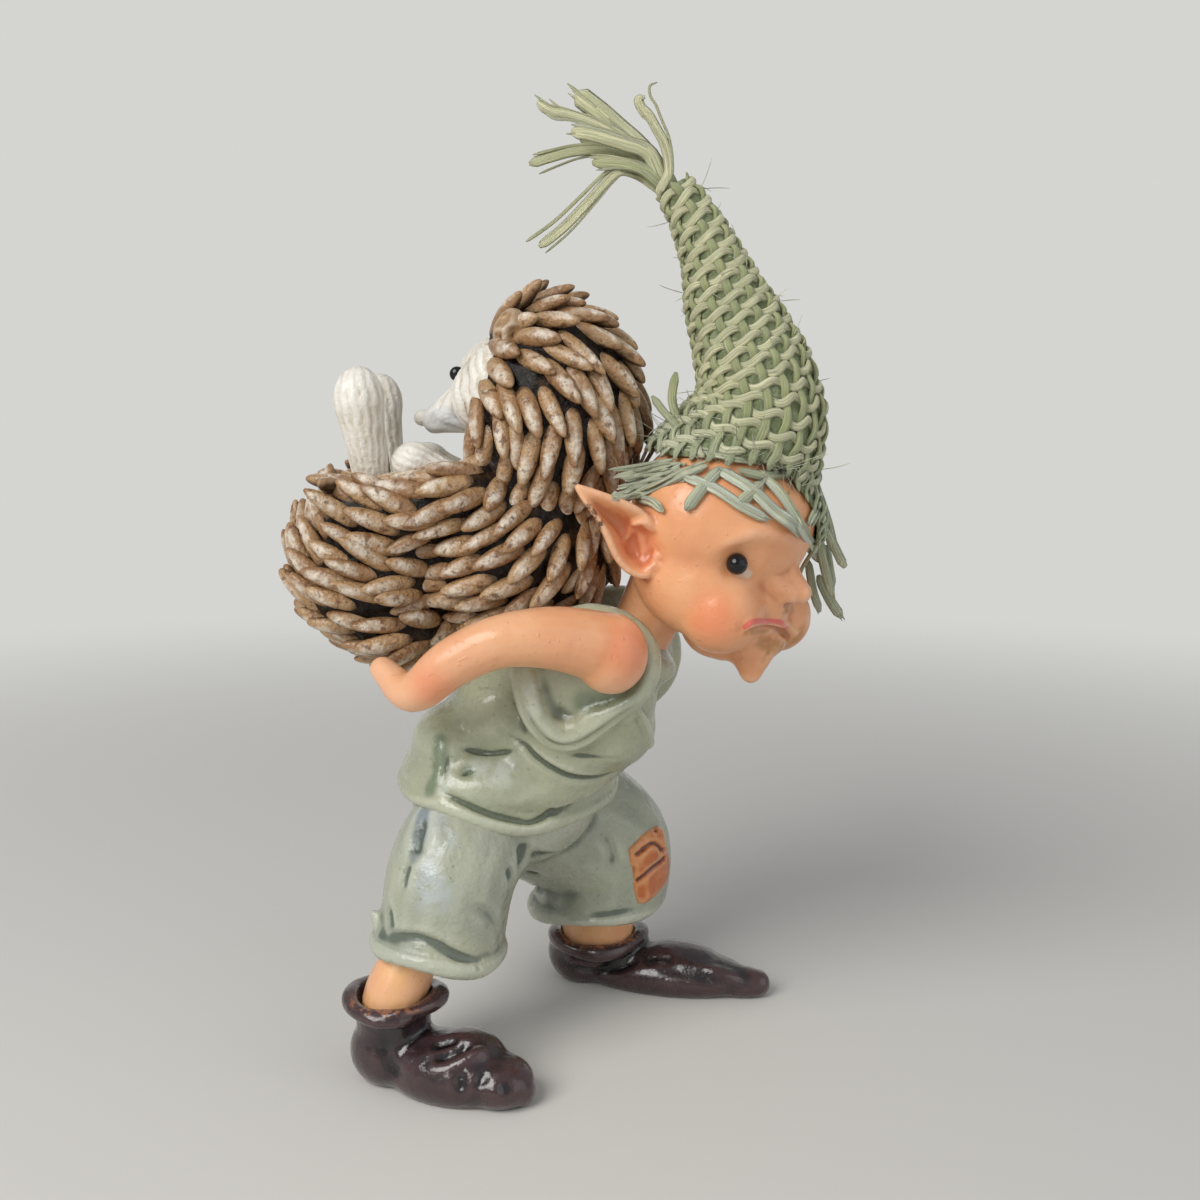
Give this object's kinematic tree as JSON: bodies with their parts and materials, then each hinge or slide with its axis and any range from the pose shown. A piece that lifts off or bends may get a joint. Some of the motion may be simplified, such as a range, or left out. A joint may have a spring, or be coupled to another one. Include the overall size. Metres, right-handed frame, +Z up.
{
  "type": "garden ornament",
  "caption": "Painted resin goblin bent forward under a spiny hedgehog that lies on its back; it stands on its boots and wears a pointed hat of open-weave jute.",
  "frame": {"origin": "middle of the bounding box, on the ground under the boot soles", "axes": "+Z is up, +X is the way the goblin walks, -Y is its right side"},
  "size_m": [0.066, 0.0436, 0.1126],
  "materials": {
    "skin": "satin peach paint with a warm blush over cast resin",
    "boot": "glossy aubergine-black paint over cast resin",
    "trousers": "satin grey-green paint with a dark wash in the creases",
    "tunic": "satin sage-green paint with a dark wash in the creases",
    "patch": "satin burnt-orange paint with dark stitch lines",
    "coat": "tan paint dry-brushed cream on the spine tips over a black-brown wash",
    "fur": "ivory paint with a brown wash in the grooves",
    "bead": "polished black",
    "jute": "dyed open-weave jute, sage green with cream floats",
    "wire": "bare wire, hidden in the castings"
  },
  "bodies": {
    "root": {"head": "skin", "right_ankle": "skin", "left_ankle": "skin", "right_arm": "skin", "left_arm": "skin", "right_boot": "boot", "left_boot": "boot", "trousers": "trousers", "tunic": "tunic", "knee_patch": "patch", "hedgehog_coat": "coat", "hedgehog_belly": "fur", "hedgehog_face": "fur", "hedgehog_right_foot": "fur", "hedgehog_left_foot": "fur", "hedgehog_right_paw": "fur", "hedgehog_left_paw": "fur", "right_eye": "bead", "left_eye": "bead", "hedgehog_nose": "bead", "hedgehog_right_eye": "bead", "hedgehog_left_eye": "bead", "hat": "jute", "right_leg_pin": "wire", "left_leg_pin": "wire", "neck_pin": "wire", "hedgehog_pin": "wire"}
  },
  "joints": []
}
